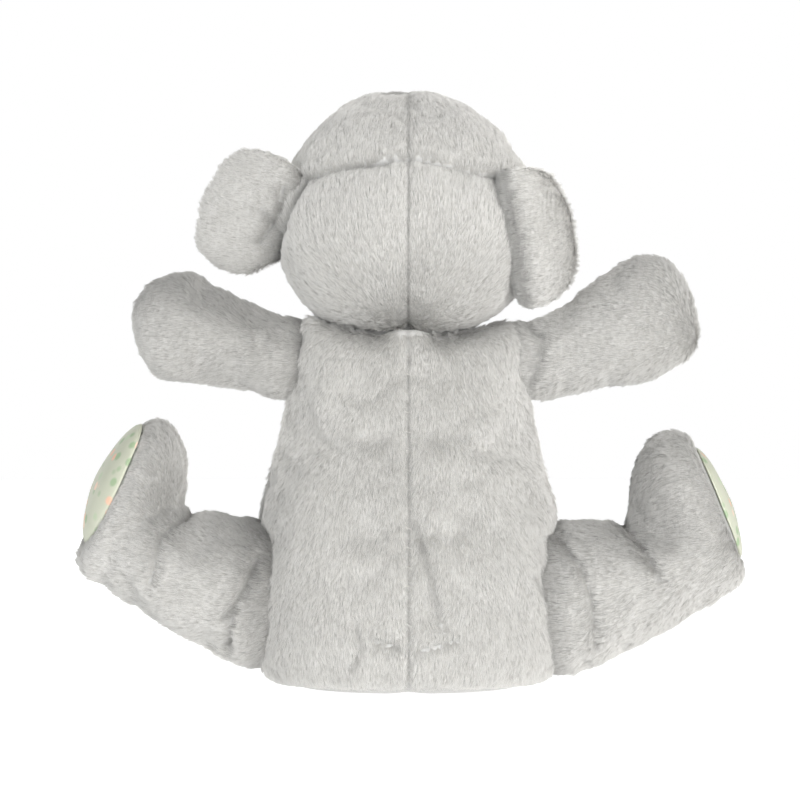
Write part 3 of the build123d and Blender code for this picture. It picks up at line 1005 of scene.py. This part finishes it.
def closed_outline(outline, turns, middle):
    """How far the outline is from its middle, at each turn."""
    off = np.array(outline, float) - middle
    angle = np.arctan2(off[:, 1], off[:, 0])
    order = np.argsort(angle)
    angle, reach = angle[order], np.hypot(off[:, 0], off[:, 1])[order]
    angle = np.concatenate([angle[-2:] - 2 * math.pi, angle, angle[:2] + 2 * math.pi])
    reach = np.concatenate([reach[-2:], reach, reach[:2]])
    return monotone(angle, reach, (turns + math.pi) % (2 * math.pi) - math.pi)


def ear_space(side):
    """Where a point of the ear is: from (out, along the root, height above the middle layer) to mm."""
    e = EAR[side]
    foot_point, head_point = on_side(e["foot"], side), on_side(e["head"], side)
    along = head_point - foot_point
    along /= np.linalg.norm(along)
    out = np.array([side, 0, 0]) - along * along[0] * side
    out /= np.linalg.norm(out)
    back = np.cross(along, out) * side
    middle = (foot_point + head_point) / 2
    shares, degrees = np.array(e["heading"], float).T
    reach = max(p[0] for p in e["outline"])
    spare = 5               # the curve also runs a little past both ends of the ear
    steps = np.linspace(-spare, reach + spare, 200)
    heading = np.radians(np.interp(steps / reach, shares, degrees))

    def summed(part):
        return np.concatenate([[0], np.cumsum(part[:-1] * np.diff(steps))]) - spare * part[0]

    forward, sideways = summed(np.cos(heading)), summed(np.sin(heading))

    def place(x, y, height):
        turn = np.interp(x, steps, heading)
        ahead = np.interp(x, steps, forward) - np.sin(turn) * height
        up = np.interp(x, steps, sideways) + np.cos(turn) * height
        return middle + along * y + out * ahead + back * up

    return place


def ear_flat(side, share, turn):
    """Where a point of the ear is in its flat outline: (out, along the root)."""
    reach = closed_outline(EAR[side]["outline"], np.array([turn]), EAR_MIDDLE)[0] * share
    return EAR_MIDDLE + reach * np.array([math.cos(turn), math.sin(turn)])


def ear_layer(side, place, share_out, above, below, lift):
    """The point_at of one layer of the ear: its share of the outline, its half thicknesses, and its lift."""
    def point_at(share, turn, face):
        x, y = ear_flat(side, share * share_out, turn)
        thick = above if face > 0 else -below
        height = thick * math.sqrt(max(0, 1 - share ** 3)) + lift
        return place(x, y, height) * MM
    return point_at


def make_ear(side):
    name = NAMES[side]
    place = ear_space(side)
    skin = make_ear_skin(side, place)
    front = EAR_HALF * EAR_FRONT
    cotton = ear_layer(side, place, LINING_SHARE, -front + 0.6, front + 0.5, -0.2)
    lining = new_mesh(f"ear_lining_{name}", [lens(18, 100, cotton)])
    finish_mesh(lining, PRINT)
    start = place(-3.0, 0, 0) * MM
    end = place(12.0, 0, 0) * MM
    for piece in (skin, lining):
        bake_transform(piece)
    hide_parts(f"ear_back_panel_{name}", f"ear_batting_{name}")
    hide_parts(f"ear_lining_{name}")


def make_ear_skin(side, place):
    rings, columns = 20, 100
    layer = ear_layer(side, place, 1.0, EAR_HALF, EAR_HALF * EAR_FRONT, 0)
    skin = new_mesh(f"ear_skin_{NAMES[side]}", [lens(rings, columns, layer)])
    co = points(skin) / MM
    spots = lens_pattern(rings, columns)[0]
    flat = np.array([ear_flat(side, share, turn) for share, turn, _ in spots])
    share, _, face = np.array(spots).T
    out, on_back = flat[:, 0], face > 0
    e = EAR[side]
    amount = 0.5 * lumps(co, 30, 90 + side)
    # Painted shade: darker near the root and in the creases, and on the back as far out as
    # painted_shade_reach.
    light = e["tone_and_painted_shade"] * (1 - 0.25 * fall(out, 6, 8))
    for line, depth, shade in e["creases"]:
        from_crease = from_line(flat, line) + np.where(on_back, 0, FAR_MM)
        amount += dip(from_crease, 1.8, depth)
        light *= dark(from_crease, 1.8, shade)
    light *= np.where(on_back & (out < e["painted_shade_reach"]), 0.6, 1)
    push(skin, amount)
    finish_mesh(skin, PLUSH, light)
    comb(skin, out, flat[:, 1] / NAP_MM)
    under_lining = ~on_back & (share < LINING_SHARE - 0.03)
    pile = np.where(under_lining, 0, 1) * rise(out, -4, 6)
    fur(skin, pile, seed=90 + side, length_mm=3.6, lift=0.25, per_cm2=40)
    return skin


def make_eye(side):
    name = NAMES[side]
    low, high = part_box(f"eye_{name}")
    middle = np.array((low + high) / 2) / MM
    way = np.array([side * 0.42, -0.86, 0.22])
    way /= np.linalg.norm(way)
    up = np.cross(way, np.cross((0, 0, 1), way))
    up /= np.linalg.norm(up)
    across = np.cross(way, up)
    radius, dome, under = 6.0, 4.2, 2.0
    front = middle + way * 5.5

    def point_at(share, turn, face):
        flat = (up * math.cos(turn) + across * math.sin(turn)) * radius * share
        height = (dome if face > 0 else -under) * math.sqrt(max(0, 1 - share ** 2))
        return (front + flat + way * height) * MM

    eye = new_mesh(f"eye_button_{name}", [lens(16, 48, point_at)])
    finish_mesh(eye, EYE)
    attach(eye, "head")
    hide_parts(f"eye_{name}")


def make_stitch(torso):
    """Rungs of thread that pull the back seam closed."""
    shells = []
    rungs, lowest, apart = 14, 36.5, 9.3
    half_wide, thread_radius, behind_toy = 1.8, 0.38, 200
    for i in range(rungs):
        z = lowest + i * apart
        path = []
        for x in np.linspace(-half_wide, half_wide, 7):
            _, spot, _, _ = torso.ray_cast(Vector((x, behind_toy, z)) * MM, Vector((0, -1, 0)))
            path.append(np.array(spot) / MM + (0, 0.3 * (1 - (x / half_wide) ** 2), 0.35 * x))
        firsts = np.tile((0, 0, thread_radius), (len(path), 1))
        seconds = np.tile((0, -thread_radius, 0), (len(path), 1))
        shells.append(tube(np.array(path), firsts, seconds, columns=8))
    thread = new_mesh("closing_thread", shells)
    finish_mesh(thread, THREAD)
    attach(thread, "torso")
    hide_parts("closing_stitch")


# ---------------------------------------------------------------- room, lights and camera
def make_studio():
    """A white room, brighter low down than overhead, with a white floor and three soft lamps."""
    world = bpy.data.worlds.new("studio")
    world.use_nodes = True
    background = world.node_tree.nodes["Background"]
    tree = world.node_tree
    way = tree.nodes.new("ShaderNodeSeparateXYZ")
    tree.links.new(tree.nodes.new("ShaderNodeTexCoord").outputs["Generated"], way.inputs[0])
    dome = tree.nodes.new("ShaderNodeMapRange")
    for socket, value in (("From Min", 0.15), ("From Max", 0.8), ("To Min", 1.0), ("To Max", 0.08)):
        dome.inputs[socket].default_value = value
    tree.links.new(way.outputs["Z"], dome.inputs["Value"])
    tree.links.new(dome.outputs[0], background.inputs[1])
    background.inputs[0].default_value = (1, 1, 1, 1)
    bpy.context.scene.world = world
    bpy.context.scene.view_settings.view_transform = "Standard"
    bpy.ops.mesh.primitive_plane_add(size=8)
    floor = bpy.context.object
    floor.name = "floor"
    n = Nodes("floor", 0.9)
    n.colour(n.ramp(n.noise(3, 1), [(0.3, (0.38, 0.38, 0.38)), (0.7, (0.40, 0.40, 0.40))]))
    n.shader.inputs["Emission Color"].default_value = (1, 1, 1, 1)
    n.shader.inputs["Emission Strength"].default_value = 0.85
    floor.data.materials.append(n.material)
    add_light("key", (-0.7, 1.6, 0.25), 40.0, 1.2, (1, 0.985, 0.965))
    add_light("front", (0.5, -1.6, 0.7), 16.0, 1.0, (1, 1, 1))
    add_light("fill", (0.9, 1.5, 0.3), 9.0, 1.2, (0.95, 0.98, 1))


def add_light(name, place, power, size, colour):
    light = bpy.data.objects.new(name, bpy.data.lights.new(name, "AREA"))
    light.data.energy = power
    light.data.color = colour
    light.data.size = size
    light.location = place
    toy_middle = Vector((0, 0, 0.14))
    light.rotation_euler = (toy_middle - Vector(place)).to_track_quat("-Z", "Y").to_euler()
    bpy.context.scene.collection.objects.link(light)


def make_camera():
    """Straight behind the toy; the frame is 400 mm across at the toy."""
    camera = bpy.data.objects.new("camera", bpy.data.cameras.new("camera"))
    camera.data.sensor_width = 36
    camera.data.lens = 135
    camera.location = (0.004, 1.5, 0.145)
    camera.rotation_euler = (math.radians(90), 0, math.radians(180))
    bpy.context.scene.collection.objects.link(camera)
    bpy.context.scene.camera = camera


# ---------------------------------------------------------------- the scene
make_camera()
make_studio()
torso_skin = make_torso()
make_head()
make_neck()
make_trunk()
for toy_side in (LEFT, RIGHT):
    make_arm(toy_side)
    make_leg(toy_side)
    make_sole(toy_side)
    make_ear(toy_side)
    make_eye(toy_side)
make_stitch(torso_skin)
